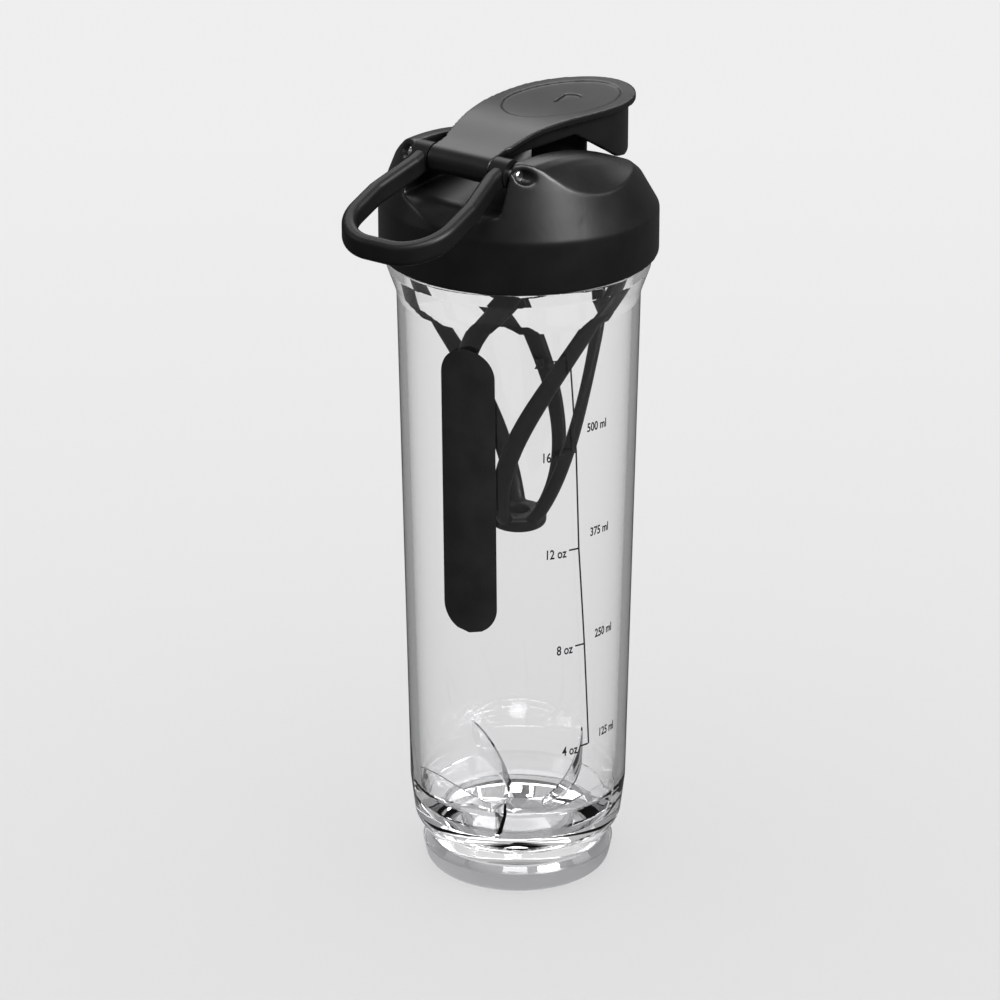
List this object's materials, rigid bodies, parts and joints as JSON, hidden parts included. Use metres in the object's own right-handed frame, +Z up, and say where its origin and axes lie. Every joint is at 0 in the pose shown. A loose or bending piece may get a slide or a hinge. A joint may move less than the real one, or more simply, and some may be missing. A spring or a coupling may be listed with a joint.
{
  "type": "protein shaker bottle",
  "caption": "Clear tapered shaker bottle with a screw-on black lid, a flip cap over a spout, a carry loop on the same pin and a removable mixing cage.",
  "frame": {"origin": "centre of the bottle's foot, on the plane it stands on", "axes": "+Z up along the bottle's axis, +X towards the spout and the flip cap's tip, -X towards the carry loop, Y along the hinge pin"},
  "size_m": [0.1282, 0.0852, 0.2491],
  "materials": {
    "clear_plastic": "clear, polished, lightly hazed",
    "print_ink": "screen print",
    "lid_plastic": "fine satin grain",
    "liner_plastic": "satin",
    "seal_rubber": "soft matte",
    "pin_steel": "drawn wire",
    "loop_rubber": "soft matte",
    "cage_plastic": "satin"
  },
  "bodies": {
    "bottle": {"bottle_body": "clear_plastic", "scale_print": "print_ink", "side_print": "print_ink"},
    "gasket": {"lid_gasket": "seal_rubber"},
    "lid": {"lid_shell": "lid_plastic", "thread_liner": "liner_plastic", "hinge_pin": "pin_steel"},
    "cap": {"flip_cap": "lid_plastic", "spout_seal": "seal_rubber"},
    "loop": {"carry_loop": "loop_rubber"},
    "cage": {"agitator": "cage_plastic"}
  },
  "joints": [
    {"name": "lid_lift", "type": "slide", "parent": "bottle", "child": "gasket", "axis": [0, 0, 1], "range_m": [0, 0.0061]},
    {"name": "lid_turn", "type": "hinge", "parent": "gasket", "child": "lid", "pos_m": [0, 0, 0.21], "axis": [0, 0, 1], "range_deg": [0, 540]},
    {"name": "cap_hinge", "type": "hinge", "parent": "lid", "child": "cap", "pos_m": [-0.0285, 0, 0.2412], "axis": [0, -1, 0], "range_deg": [0, 110]},
    {"name": "loop_swing", "type": "hinge", "parent": "lid", "child": "loop", "pos_m": [-0.0285, 0, 0.2412], "axis": [0, 1, 0], "range_deg": [-10, 50]},
    {"name": "cage_release", "type": "slide", "parent": "lid", "child": "cage", "axis": [0, 0, -1], "range_m": [0, 0.015]}
  ],
  "couplings": [
    {"joint": "lid_lift", "follows": "lid_turn", "m_per_rad": 0.00063662}
  ]
}
